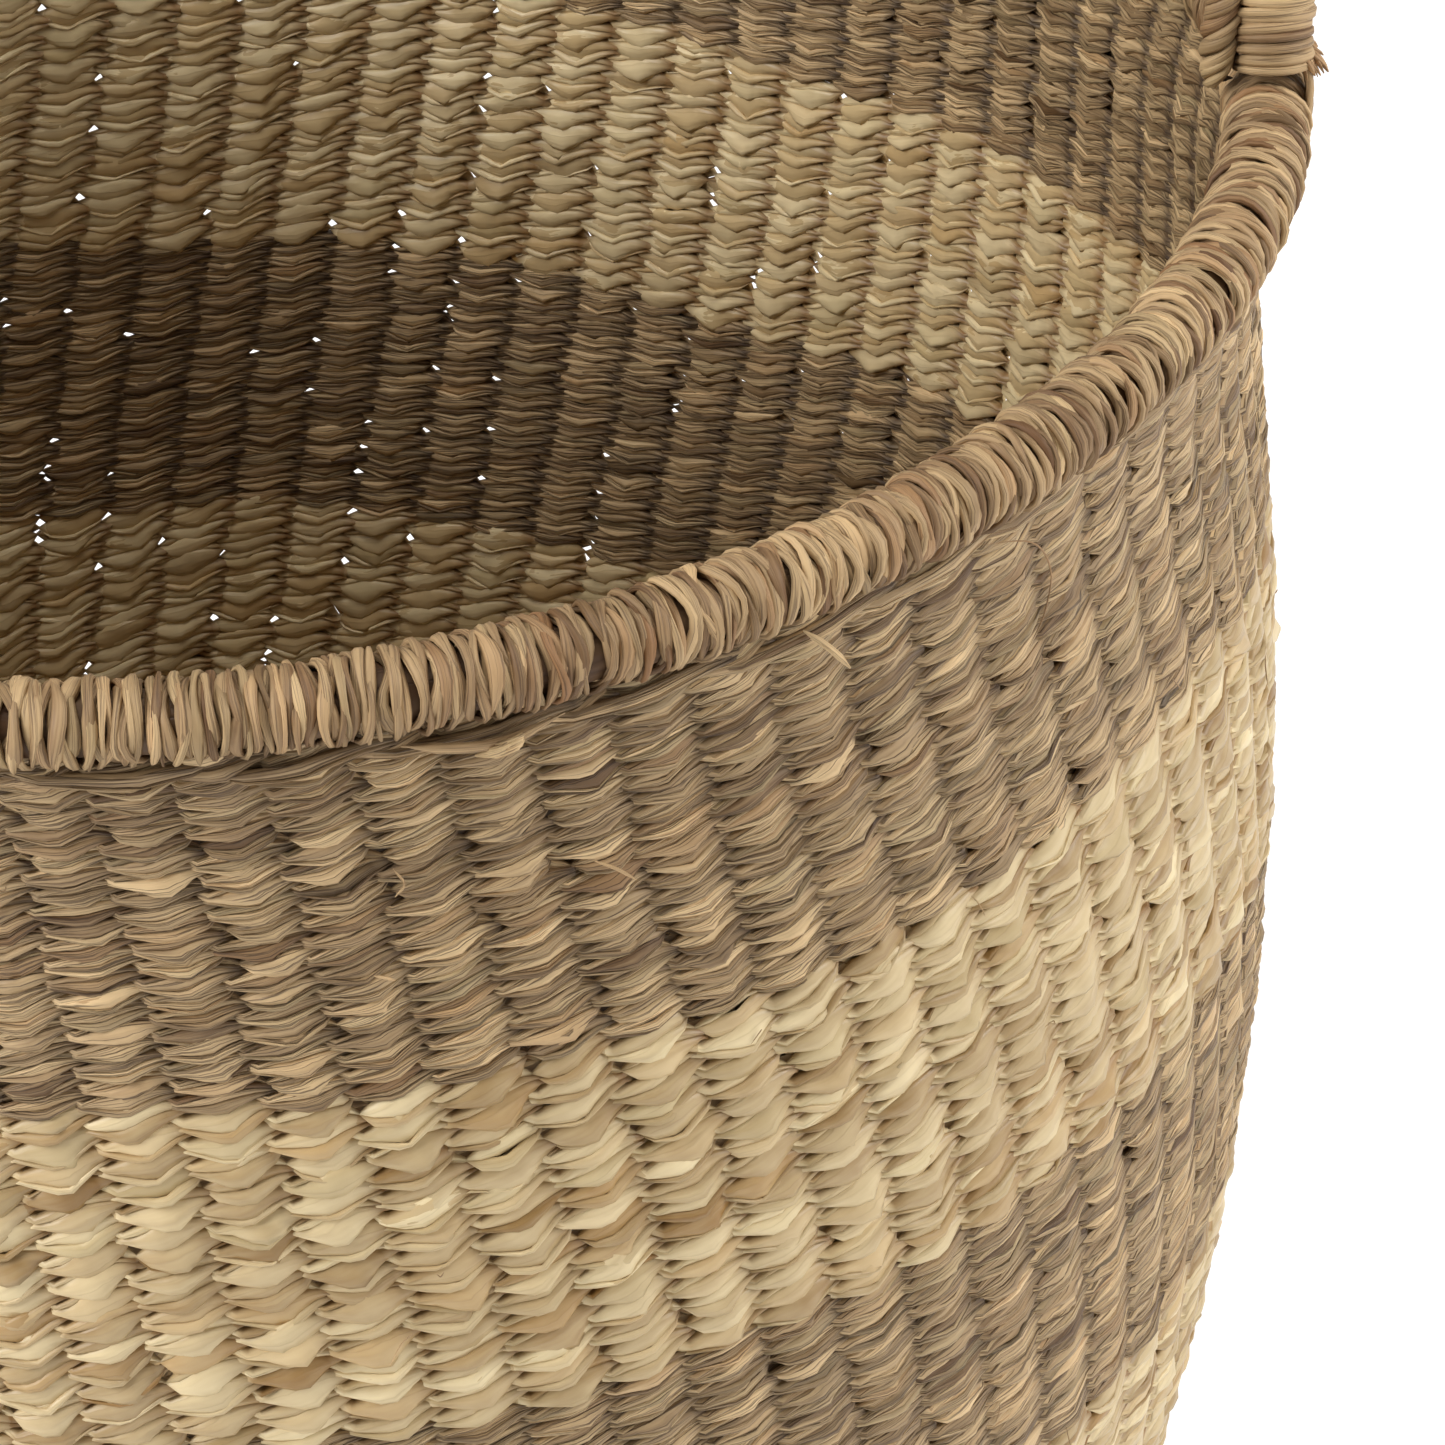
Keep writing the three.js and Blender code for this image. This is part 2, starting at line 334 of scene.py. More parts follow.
def strand_material(name, tones, warm, cool, deep, roughness, fibre_strength, bump,
                    splits=2.2, split_depth=0.6):
    material = bpy.data.materials.new(name)
    material.use_nodes = True
    nodes, link = material.node_tree.nodes, material.node_tree.links.new
    shader = nodes["Principled BSDF"]
    look = nodes.new("ShaderNodeAttribute")
    look.attribute_name = "look"
    look_xyz = nodes.new("ShaderNodeSeparateXYZ")
    link(look.outputs["Vector"], look_xyz.inputs[0])
    fibre = nodes.new("ShaderNodeAttribute")
    fibre.attribute_name = "fibre"

    def noise(stretch, detail):
        """Noise over the fibre coordinates, drawn out along the strand."""
        scaled = nodes.new("ShaderNodeVectorMath")
        scaled.operation = "MULTIPLY"
        scaled.inputs[1].default_value = stretch
        link(fibre.outputs["Vector"], scaled.inputs[0])
        node = nodes.new("ShaderNodeTexNoise")
        node.inputs["Scale"].default_value = 1.0
        node.inputs["Detail"].default_value = detail
        link(scaled.outputs[0], node.inputs["Vector"])
        return node.outputs["Fac"]

    def math_node(operation, a, b):
        node = nodes.new("ShaderNodeMath")
        node.operation = operation
        for socket, value in zip(node.inputs, (a, b)):
            if isinstance(value, (int, float)):
                socket.default_value = value
            else:
                link(value, socket)
        return node.outputs[0]

    def mix(factor, a, b):
        node = nodes.new("ShaderNodeMix")
        node.data_type = "RGBA"
        for socket, value in ((node.inputs[0], factor), (node.inputs[6], a), (node.inputs[7], b)):
            if isinstance(value, (tuple, float)):
                socket.default_value = value
            else:
                link(value, socket)
        return node.outputs[2]

    grain = noise((60, 3.2, 1), 3.0)
    patch = noise((130, 0.8, 1), 2.0)
    split = noise((26, splits, 1), 1.0)
    grain_shift = math_node("MULTIPLY", math_node("SUBTRACT", grain, 0.5), fibre_strength)
    patch_shift = math_node("MULTIPLY", math_node("SUBTRACT", patch, 0.5), PATCH_STRENGTH)
    tone = math_node("ADD", look_xyz.outputs[0], math_node("ADD", grain_shift, patch_shift))
    ramp = nodes.new("ShaderNodeValToRGB")
    for position, colour in tones[2:]:
        ramp.color_ramp.elements.new(position)
    for element, (position, colour) in zip(ramp.color_ramp.elements, tones):
        element.position = position
        element.color = colour
    link(tone, ramp.inputs[0])
    # Thin dark splits, where the split noise passes its middle value.
    line = nodes.new("ShaderNodeMapRange")
    line.inputs["From Min"].default_value = 0.0
    line.inputs["From Max"].default_value = SPLIT_WIDTH
    line.inputs["To Min"].default_value = 1.0
    line.inputs["To Max"].default_value = 0.0
    link(math_node("ABSOLUTE", math_node("SUBTRACT", split, 0.5), 0.0),
         line.inputs["Value"])
    warmer = math_node("MAXIMUM", look_xyz.outputs[1], 0.0)
    cooler = math_node("MAXIMUM", math_node("MULTIPLY", look_xyz.outputs[1], -1.0), 0.0)
    colour = mix(warmer, ramp.outputs[0], warm)
    colour = mix(cooler, colour, cool)
    colour = mix(math_node("MULTIPLY", line.outputs[0], split_depth), colour, deep)
    # Painted shade: the deep colour, which also draws the split lines, is mixed in by the third
    # look value where a strand goes in behind another.
    colour = mix(math_node("MULTIPLY", look_xyz.outputs[2], PAINTED_SHADE_STRENGTH), colour, deep)
    link(colour, shader.inputs["Base Color"])
    gloss = nodes.new("ShaderNodeMapRange")
    gloss.inputs["To Min"].default_value = roughness - ROUGHNESS_SPREAD
    gloss.inputs["To Max"].default_value = roughness + ROUGHNESS_SPREAD
    link(patch, gloss.inputs["Value"])
    link(gloss.outputs[0], shader.inputs["Roughness"])
    relief = nodes.new("ShaderNodeBump")
    relief.inputs["Strength"].default_value = bump
    relief.inputs["Distance"].default_value = RELIEF_HEIGHT
    link(math_node("SUBTRACT", grain, math_node("MULTIPLY", line.outputs[0], SPLIT_RELIEF)),
         relief.inputs["Height"])
    link(relief.outputs[0], shader.inputs["Normal"])
    shader.inputs["Specular IOR Level"].default_value = 0.4
    return material


natural = strand_material(
    "natural_seagrass",
    [(0.0, srgb(100, 73, 44)), (1.0, srgb(228, 196, 148)), (0.35, srgb(156, 122, 82)),
     (0.65, srgb(190, 154, 109))],
    srgb(178, 138, 94), srgb(136, 124, 88), srgb(58, 37, 20), 0.55, 0.75, 0.9,
    split_depth=0.75)
pale = strand_material(
    "pale_leaf",
    [(0.0, srgb(142, 108, 60)), (1.0, srgb(232, 212, 168)), (0.35, srgb(180, 151, 104)),
     (0.65, srgb(204, 178, 132))],
    srgb(190, 146, 84), srgb(190, 170, 122), srgb(122, 80, 34), 0.40, 0.22, 0.25,
    splits=0.8, split_depth=0.15)
rim_grass = strand_material(
    "rim_seagrass",
    [(0.0, srgb(107, 75, 45)), (1.0, srgb(219, 187, 139)), (0.35, srgb(157, 121, 81)),
     (0.65, srgb(186, 150, 105))],
    srgb(186, 140, 94), srgb(146, 128, 89), srgb(68, 44, 24), 0.6, 0.5, 0.6)
cane = strand_material(
    "rattan_core",
    [(0.0, srgb(96, 74, 50)), (1.0, srgb(196, 172, 130)), (0.35, srgb(132, 106, 74)),
     (0.65, srgb(160, 134, 96))],
    srgb(180, 130, 80), srgb(150, 140, 110), srgb(60, 42, 24), 0.6, 0.4, 0.5)


# Twined rows.

TONE_SPREAD = 0.17           # of single stitches

def between(values, stake, t):
    """Per-stitch values (..., stitches) carried smoothly along the points of a loop."""
    ahead = np.roll(values, -1, -1)
    behind = np.roll(values, 1, -1)
    here, nxt, prev = (x[..., stake] for x in (values, ahead, behind))
    return here + np.abs(t) * np.where(t > 0, nxt - here, prev - here)


def twine(levels, pitches, stakes, blades, sides, depth, width, cross, out_by,
          inside_painted_light):
    """Closed rows of paired strands round the stakes: (points, look, along) per blade.

    Strand 0 is outside at even stakes and strand 1 at odd ones. Each stitch rises from low
    in its row to high. It is widest and flattest over the stake; between the stakes the
    two strands pass one above the other, narrow and deep. cross is the width there, and
    width the one over the stake, both in row heights.
    """
    rows = len(levels)
    points = stakes * len(STITCH)
    stake = np.repeat(np.arange(stakes), len(STITCH))
    t = np.tile(STITCH, stakes)
    side = 1.0 - 2.0 * ((stake[None, :] + np.arange(2)[:, None]) % 2)
    side = side[None]
    level = levels[:, None, None]
    pitch = pitches[:, None, None]
    radius = np.interp(level, LINE_S, LINE_R)
    shape = (rows, 2, stakes)
    far = np.abs(2 * t)

    # Height in the row.
    turn = TAU * (stake + t) / stakes
    wave = sum(size * np.sin(times * turn + start + level * 9) for times, size, start in WAVE)
    back = np.concatenate([-STITCH_RISE[:1], STITCH_RISE[:0:-1]])
    climb = np.where(side > 0, np.tile(STITCH_RISE, stakes), np.tile(back, stakes))
    nudge = rng.uniform(-NUDGE, NUDGE, shape)[..., stake] * (1 - far)
    rise = climb + nudge + wave

    # Position through the wall: a strand leads its climb a little.
    ahead = t + LEAD
    next_side = np.where(ahead > 0.5, -side, side)
    far_out = np.abs(2 * np.where(ahead > 0.5, ahead - 1, ahead))
    reach = (STAKE_RADIUS + depth * 0.5) * rng.uniform(0.92, 1.12, shape)[..., stake]
    swing = next_side * reach * (1 - far_out ** 1.5) + out_by

    # Width and depth of the whole bundle.
    grow = between(rng.uniform(0.92, 1.1, shape), stake, t)
    back = np.concatenate([[0], STITCH_WIDTH[:0:-1]])
    fullness = np.where(side > 0, np.tile(STITCH_WIDTH, stakes), np.tile(back, stakes))
    gaps = np.where(rng.random((rows, 1, stakes)) < GAP_SHARE, GAP_SQUEEZE, 1.0)[..., stake]
    open_up = np.where(t <= -0.5, gaps, 1.0)
    narrow = cross * open_up
    bundle = pitch * grow * (width * fullness + narrow * (1 - fullness))

    shift = between(rng.normal(0, SHIFT, shape), stake, t) * TAU / stakes
    u = (turn + shift) * radius
    shares = rng.uniform(0.2, 1.0, (blades,) + shape) ** 2
    broad = rng.integers(0, blades, shape)
    shares += 0.7 * (broad == np.arange(blades)[:, None, None, None])
    shares /= shares.sum(0)
    offsets = np.cumsum(shares, 0) - shares / 2 - 0.5
    out = []
    for blade in range(blades):
        share = between(shares[blade], stake, t)
        place = between(offsets[blade], stake, t)
        lift = between(rng.uniform(-0.35, 0.35, shape), stake, t) * depth * 0.4
        centre = np.stack(np.broadcast_arrays(
            u, level + pitch * rise + bundle * place,
            swing + side * (lift - np.sin(SHINGLE) * bundle * place) * (1 - far ** 4)), -1)
        half_width = bundle * share * 0.60
        flatness = 0.75 + 0.5 * between(rng.uniform(0, 1, shape), stake, t)
        half_depth = np.minimum(depth * 0.5 * flatness, half_width * 0.8 + 0.00025)
        half_depth = half_depth * (1 - far ** 3) + CROSSING_DEPTH * open_up * far ** 3
        tilt = (-side * SHINGLE + between(rng.normal(0, 0.25, shape), stake, t)) * (1 - far)
        flat = (rows * 2, points)
        swept_points = swept(centre.reshape(flat + (3,)), 1, half_width.reshape(flat),
                             half_depth.reshape(flat), tilt.reshape(flat), sides, True)
        swept_points[..., 0] /= np.repeat(radius.ravel(), 2)[:, None, None]
        tone = walk(shape, 10, 0.3, 0.7) + rng.normal(0, TONE_SPREAD, shape)
        tone += rng.normal(0, 0.06, (rows, 2, 1))
        # Painted light: where a strand lies on the inside of the wall its tone is raised, for
        # light glowing through the pale leaf.
        tone = tone[..., stake] + np.where(side > 0, 0.0, inside_painted_light)
        warmth = walk(shape, 5, -0.6, 0.6) + rng.normal(0, 0.1, shape)
        warmth = np.sign(warmth) * np.maximum(np.abs(warmth) - 0.2, 0) * 0.8
        # Painted shade: near each crossing, the half of a strand that goes in behind the other
        # strand is darkened.
        painted_shade = np.where((t > 0) == (side > 0), far ** 3, 0.0)
        look = np.stack(np.broadcast_arrays(
            tone, between(warmth, stake, t), painted_shade), -1)
        along = u + rng.random((rows, 2, 1)) * 3
        out.append((on_wall(swept_points), look.reshape(flat + (3,)), along.reshape(flat)))
    return out


def row_levels(start, end, pitch):
    count = max(1, round((end - start) / pitch))
    step = (end - start) / count
    return start + step * (np.arange(count) + 0.5), np.full(count, step)


def weave(name, node, start, end, pitch, material, slot_name, groups, stakes=STAKES,
          blades=3, sides=6, depth=0.0016, width=1.40, cross=0.48, out_by=0.0, cuts=4,
          inside_painted_light=0.0):
    """A run of rows between two lengths along the mid-line, cut into a few pieces."""
    levels, pitches = row_levels(start, end, pitch)
    parts = np.array_split(np.arange(len(levels)), groups)
    for number, rows in enumerate(parts, 1):
        strands = Strands()
        for block in twine(levels[rows], pitches[rows], stakes, blades, sides, depth,
                           width, cross, out_by, inside_painted_light):
            strands.add(*block, closed=True, cuts=cuts)
        label = f"{name}_{number}" if groups > 1 else name
        strands.build(label, material, node)


# Painted light: the pale bands are made lighter on the inside of the wall.
PALE = {"blades": 2, "sides": 8, "depth": 0.0018, "width": 1.42, "cross": 0.47,
        "inside_painted_light": 0.45}
COARSE = {"blades": 2}


def band_ends(node):
    lo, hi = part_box(node)
    return at_height(lo.z), at_height(hi.z)


START_ROUNDS = at_radius(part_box("base_centre")[1].x)
DOUBLING = at_radius(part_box("base_inner_rounds")[1].x)
BASE_END = at_radius(BASE_RADIUS)
weave("base_start_rounds", "base_centre", 0.0015, START_ROUNDS, NATURAL_PITCH, natural,
      "natural_seagrass", 1, stakes=22, **COARSE)
weave("base_inner_rounds_strands", "base_inner_rounds", START_ROUNDS, DOUBLING,
      NATURAL_PITCH, natural, "natural_seagrass", 1, stakes=44, **COARSE)
weave("base_outer_rounds_strands", "base_outer_rounds", DOUBLING, BASE_END,
      NATURAL_PITCH, natural, "natural_seagrass", 3, **COARSE)
weave("base_corner_strands", "base_corner", BASE_END, at_height(SIDE_BOTTOM),
      NATURAL_PITCH, natural, "natural_seagrass", 2, **COARSE)
weave("band_natural_bottom_strands", "band_natural_bottom",
      *band_ends("band_natural_bottom"), NATURAL_PITCH, natural, "natural_seagrass", 2,
      **COARSE)
weave("band_pale_lower_strands", "band_pale_lower", *band_ends("band_pale_lower"),
      PALE_PITCH, pale, "pale_leaf", 3, **PALE)
weave("band_natural_middle_strands", "band_natural_middle",
      *band_ends("band_natural_middle"), NATURAL_PITCH, natural, "natural_seagrass", 5)
weave("band_pale_upper_strands", "band_pale_upper", *band_ends("band_pale_upper"),
      PALE_PITCH, pale, "pale_leaf", 3, **PALE)
weave("band_natural_top_strands", "band_natural_top", band_ends("band_natural_top")[0],
      LINE_S[-1], NATURAL_PITCH, natural, "natural_seagrass", 5)


# Stakes.

STAKE_POINTS = 110           # along one stake


def stakes_piece():
    """A quarter of them start near the base's middle; the rest are put in further out."""
    strands = Strands()
    for start, first, step in ((0.006, 0, 4), (at_radius(0.05), 2, 4), (at_radius(0.1), 1, 2)):
        numbers = np.arange(first, STAKES, step)
        s = np.linspace(start, LINE_S[-1], STAKE_POINTS)
        phi = TAU * numbers[:, None] / STAKES + 0 * s
        centre = np.stack(np.broadcast_arrays(phi * RIM_RADIUS, s[None], 0.0), -1)
        shape = centre.shape[:2]
        points = swept(centre, 0, np.full(shape, STAKE_RADIUS), np.full(shape, STAKE_RADIUS),
                       np.zeros(shape), 6, False)
        radius = np.interp(points[..., 1], LINE_S, LINE_R)
        middle = phi[:, :, None]
        points[..., 0] = middle + (points[..., 0] - middle * RIM_RADIUS) / radius
        look = np.zeros(shape + (3,))
        look[..., 0] = 0.45 + rng.normal(0, 0.12, (len(numbers), 1))
        along = np.broadcast_to(s, shape)
        strands.add(on_wall(points), look, along, closed=False)
    nodes = ["band_natural_bottom", "band_natural_top"]
    strands.build("stakes", cane, nodes)


stakes_piece()


# Rim: blades wound round the hoop in four crossing layers.

RIM_TURNS = 340              # in each layer
# Each layer's sideways bow, half width and lift, from the lowest layer up.
RIM_LAYERS = ((0.0, 0.0012, -0.0006), (-0.0012, 0.0010, -0.0001),
              (0.0016, 0.0009, 0.0001), (0.0003, 0.0009, 0.0003))
RIM_TURN_RADIUS = 0.0062     # of a turn's middle line where it starts, before its lift
RIM_MEAN_RADIUS = 0.0065     # at which lengths round the roll are measured

def on_rim(local):
    """World points of rim coordinates: angle round the basket, angle round the roll, radius."""
    phi, theta, rho = local[..., 0], local[..., 1], local[..., 2]
    r = RIM_RADIUS + rho * np.cos(theta)
    z = RIM_HEIGHT + rho * np.sin(theta)
    return uneven(np.stack([r * np.cos(phi), r * np.sin(phi), z], -1))


def strand_looks(count, steps, tone_low, tone_high, painted_shade):
    """Tone, warmth and painted shade of separate short strands."""
    tone = walk((count,), 3, tone_low, tone_high) + rng.normal(0, 0.15, count)
    warmth = np.clip(rng.normal(0.0, 0.25, count), -0.5, 0.5)
    warmth = np.sign(warmth) * np.maximum(np.abs(warmth) - 0.15, 0)
    return np.stack(np.broadcast_arrays(tone[:, None], warmth[:, None],
                                        painted_shade + np.zeros((count, steps))), -1)


def wound(strands, around, theta, drift, rho, half_width, half_depth, place, mean,
          tone=(0.3, 0.8), unit=1.0):
    """Adds blades wound round a core: around (T,) in metres along it, theta (P,) or (T,P)."""
    theta = np.broadcast_to(theta, drift.shape)
    centre = np.stack(np.broadcast_arrays(around[:, None] + drift, theta * mean, rho), -1)
    shape = centre.shape[:2]
    tilt = rng.normal(0, 0.2, (shape[0], 1)) + np.zeros(shape)
    points = swept(centre, 0, np.broadcast_to(half_width, shape),
                   np.broadcast_to(half_depth, shape), tilt, 6, False)
    points[..., 0] /= unit
    points[..., 1] /= mean
    t = np.linspace(0, 1, shape[1])
    # Painted shade: a wound blade is darkened towards both its ends, where it goes in among the
    # other turns.
    painted_shade = np.clip(1 - np.minimum(t, 1 - t) * 7, 0, 1)[None]
    look = strand_looks(shape[0], shape[1], tone[0], tone[1], painted_shade)
    along = theta * mean + rng.random((shape[0], 1)) * 3
    strands.add(place(points), look, along, closed=False)


def rim_turns():
    """Turns in four sets: straight ones below, then three that bow differently and cross."""
    turns = RIM_TURNS
    t = np.linspace(0, 1, 21)
    theta = np.radians(-80 + 335 * t)[None]
    lump = walk((turns,), 4, -0.0004, 0.0005)[:, None]
    strands = Strands()
    for bow, wide, lift in RIM_LAYERS:
        number = np.arange(turns) + rng.uniform(0, 1) + rng.uniform(-0.3, 0.3, turns)
        lean_over = (bow + rng.normal(0, 0.0007, (turns, 1))) * np.cos(theta - 0.6)
        lean_over = lean_over + rng.normal(0, 0.0005, (turns, 1)) * np.sin(
            2.5 * theta + rng.uniform(0, TAU, (turns, 1)))
        width = wide * rng.uniform(0.75, 1.3, (turns, 1))
        twist = 1 + 0.35 * np.sin(theta * 2.6 + rng.uniform(0, TAU, (turns, 1)))
        taper = np.clip(np.minimum(t, 1 - t) * 4.5, 0.3, 1)[None]
        over = 0.0006 * np.sin(theta * 2.0 + rng.uniform(0, TAU, (turns, 1)))
        hug = 0.0010 * np.sin(math.pi * np.clip(t, 0.02, 0.98)) ** 0.4
        rho = RIM_TURN_RADIUS + lift + lump + over + hug[None]
        wound(strands, number * TAU / turns * RIM_RADIUS, theta, lean_over, rho,
              width * twist * taper, 0.0007 * (1.5 - 0.5 * twist), on_rim, RIM_MEAN_RADIUS,
              tone=(0.12, 0.68), unit=RIM_RADIUS)
    strands.build("rim_binding_turns", rim_grass, "rim_binding", 8)


def rim_core():
    """The hoop with its inner layer of grass, painted dark as the shade that shows between the
    turns.
    """
    strands = Strands()
    count, sides = 264, 10
    phi = np.arange(count) / count * TAU
    local = np.empty((1, count, sides, 3))
    local[..., 0] = phi[:, None]
    local[..., 1] = TAU * np.arange(sides) / sides
    local[..., 2] = 0.0058
    look = np.zeros((1, count, 3))
    # Painted shade: a low tone and half the painted shade darken the hoop where it shows between
    # the turns.
    look[..., 0] = 0.1 + 0.15 * walk((count,), 3)
    look[..., 2] = 0.5
    strands.add(on_rim(local), look, phi[None] * RIM_RADIUS, True, 4)
    strands.build("rim_hoop_wrapped", rim_grass, "rim_hoop")


def rim_collar():
    """Long stitches, two stakes long, that lie along the underside of the roll."""
    row = 0.0035
    top = at_height(WALL_TOP) - 0.0020
    weave("rim_collar_strands", "rim_binding", top - row, top, row, natural,
          "natural_seagrass", 1, stakes=STAKES // 2, width=0.9, out_by=0.0013)


rim_turns()
rim_core()
rim_collar()


# Handles. Each is worked out over +X and turned about +Z to its side.

CORE_LO, CORE_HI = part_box("handle_right_outer_core")
CORE_RADIUS = (CORE_HI.x - CORE_LO.x) / 2
HALF_SPAN = CORE_HI.y - CORE_RADIUS
FOOT_X = (CORE_HI.x + CORE_LO.x) / 2
OUTER_X = FOOT_X + 0.0007      # middles of the two bundles of the grip
INNER_X = FOOT_X - 0.0088
BINDING_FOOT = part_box("handle_right_binding")[0].z
ARCH_SPRING = BINDING_FOOT + 0.004
ARCH_TOP = CORE_HI.z - CORE_RADIUS
ARCH_FULLNESS = 2.4
FOOT_ANGLE = math.asin(HALF_SPAN / RIM_RADIUS)
BLADE_DEPTH = 0.0008           # half thickness of a blade wound on a handle
OUTER_PITCH = 0.0021           # along the arch, from turn to turn
INNER_PITCH = OUTER_PITCH * 1.25
OUTER_TURN_RADIUS = 0.0075
INNER_TURN_RADIUS = 0.0031
INNER_DROP = 0.0120            # of an inner turn, from the seam round to its end
LASHING_TURNS = 9
LASHING_PITCH = 0.0023
CORDS = 3                      # down the outside of the roll at each foot
TUFT = 46                      # cut ends at each foot


def handle_line(foot):
    """Length, y, z and direction along the arch from the -Y leg's foot to the other."""
    angle = np.linspace(0, math.pi, 241)
    across = np.abs(np.cos(angle)) ** (2 / ARCH_FULLNESS) * np.sign(np.cos(angle))
    up = np.abs(np.sin(angle)) ** (2 / ARCH_FULLNESS)
    leg = np.linspace(foot, ARCH_SPRING, 20, endpoint=False)
    y = np.concatenate([np.full(20, -HALF_SPAN), -HALF_SPAN * across, np.full(20, HALF_SPAN)])
    z = np.concatenate([leg, ARCH_SPRING + (ARCH_TOP - ARCH_SPRING) * up, leg[::-1]])
    length = np.concatenate([[0], np.cumsum(np.hypot(np.diff(y), np.diff(z)))])
    dy, dz = np.gradient(y, length), np.gradient(z, length)
    size = np.hypot(dy, dz)
    return length, y, z, dy / size, dz / size


def on_handle(core_x, foot, side):
    """Placer for (along the arch, angle round the core, radius); angle 0 points outwards."""
    length, ys, zs, dys, dzs = handle_line(foot)

    def place(local):
        along, theta, rho = local[..., 0], local[..., 1], local[..., 2]
        y, z = np.interp(along, length, ys), np.interp(along, length, zs)
        dy, dz = np.interp(along, length, dys), np.interp(along, length, dzs)
        x = core_x + rho * np.cos(theta)
        out = rho * np.sin(theta)
        y, z = y - out * dz, z + out * dy
        x, y = x * side, y * side
        return uneven(np.stack([x, y, z], -1))
    return place, length[-1]


def grip(label, side):
    """A handle's two bundles, bound in a figure of eight that meets in a herringbone seam."""
    # Outer bundle: near-level turns, sagging a little between the seam and the outer edge.
    place, total = on_handle(OUTER_X, CORE_LO.z - 0.0012, side)
    count = round(total / OUTER_PITCH)
    t = np.linspace(0, 1, 23)
    theta = np.radians(-192 + 384 * t)[None]
    seam = np.clip(1 - np.minimum(t, 1 - t) * 6, 0, 1)[None]
    around = (np.arange(count) + 0.5) * total / count + rng.normal(0, 0.00025, count)
    leg_sign = np.clip((total / 2 - around) / (total * 0.3), -1, 1)[:, None]
    sag = 0.0024 * np.abs(np.sin(theta)) * rng.uniform(0.4, 1.4, (count, 1))
    lump = 0.0003 * walk((count,), 2)[:, None]
    over = 0.0004 * np.sin(theta + rng.uniform(0, TAU, (count, 1)))
    rho = OUTER_TURN_RADIUS + lump + over - 0.0006 * seam
    width = rng.uniform(0.0010, 0.0017, (count, 1)) * (1 - 0.5 * seam)
    strands = Strands()
    wound(strands, around, theta, (sag - 0.0006 * seam) * leg_sign, rho, width, BLADE_DEPTH,
          place, 0.007)
    # Inner bundle: turns that slant steeply down from the seam, on both faces.
    place, total = on_handle(INNER_X, RIM_HEIGHT + 0.006, side)
    count = round(total / INNER_PITCH)
    t = np.linspace(0, 1, 15)
    theta = np.radians(-150 + 300 * t)[None] + math.pi
    around = (np.arange(count) + 0.5) * total / count + rng.normal(0, 0.0003, count)
    leg_sign = np.clip((total / 2 - around) / (total * 0.3), -1, 1)[:, None]
    drop = -INNER_DROP * t[None] * rng.uniform(0.9, 1.1, (count, 1))
    around = around + 0.0040 * leg_sign[:, 0]
    around = np.clip(around, 0.002, total - 0.002)
    foot = np.minimum(around, total - around)[:, None]
    slim = 0.45 + 0.55 * smoothstep(foot / 0.012)
    rho = (INNER_TURN_RADIUS + 0.0003 * walk((count,), 2)[:, None]) * slim
    rho = rho + 0.0004 * np.sin(theta + rng.uniform(0, TAU, (count, 1)))
    width = rng.uniform(0.0013, 0.0019, (count, 1)) * (0.75 + 0.25 * np.sin(math.pi * t)[None])
    wound(strands, around, theta, drop * leg_sign, rho, width * (0.5 + 0.5 * slim),
          BLADE_DEPTH, place, 0.0042)
    strands.build(f"{label}_binding_turns", rim_grass,
                  [f"{label}_binding", f"{label}_inner_core", f"{label}_outer_core"],
                  8)


def grip_cores(label, side):
    """The canes inside a handle; they end a little above the ends of their bindings."""
    strands = Strands()
    for x, foot, radius in ((OUTER_X, CORE_LO.z + 0.002, 0.0058),
                            (INNER_X, RIM_HEIGHT + 0.010, 0.0024)):
        place, total = on_handle(x, foot, side)
        along = np.linspace(0, total, 60)[None]
        end = np.clip(np.minimum(along, total - along) / 0.004, 0.15, 1) ** 0.5
        local = np.empty(along.shape + (10, 3))
        local[..., 0] = along[..., None]
        local[..., 1] = TAU * np.arange(10) / 10
        local[..., 2] = (radius * end)[..., None]
        look = np.zeros(along.shape + (3,))
        # Painted shade: the canes get a low tone and the full painted shade, as they sit in shade
        # within their bindings.
        look[..., 0] = 0.1
        look[..., 2] = 1.0
        strands.add(place(local), look, along, closed=False)
    strands.build(f"{label}_cores", cane, f"{label}_outer_core")


def free_strands(strands, lines, half_width, half_depth, tone, warmth, sides=5):
    """Adds loose strands along given lines (S, P, 3) in world coordinates."""
    shape = lines.shape[:2]
    t = np.linspace(0, 1, shape[1])
    taper = np.clip(np.minimum(t, 1 - t) * 5, 0.25, 1)[None]
    points = swept(lines, 2, half_width * taper + np.zeros(shape),
                   half_depth * taper + np.zeros(shape), rng.normal(0, 0.5, shape[:1] + (1,))
                   + np.zeros(shape), sides, False)
    look = np.zeros(shape + (3,))
    look[..., 0] = tone
    look[..., 1] = warmth
    along = t[None] * 0.02 + rng.random((shape[0], 1)) * 3
    strands.add(uneven(points), look, along, closed=False)


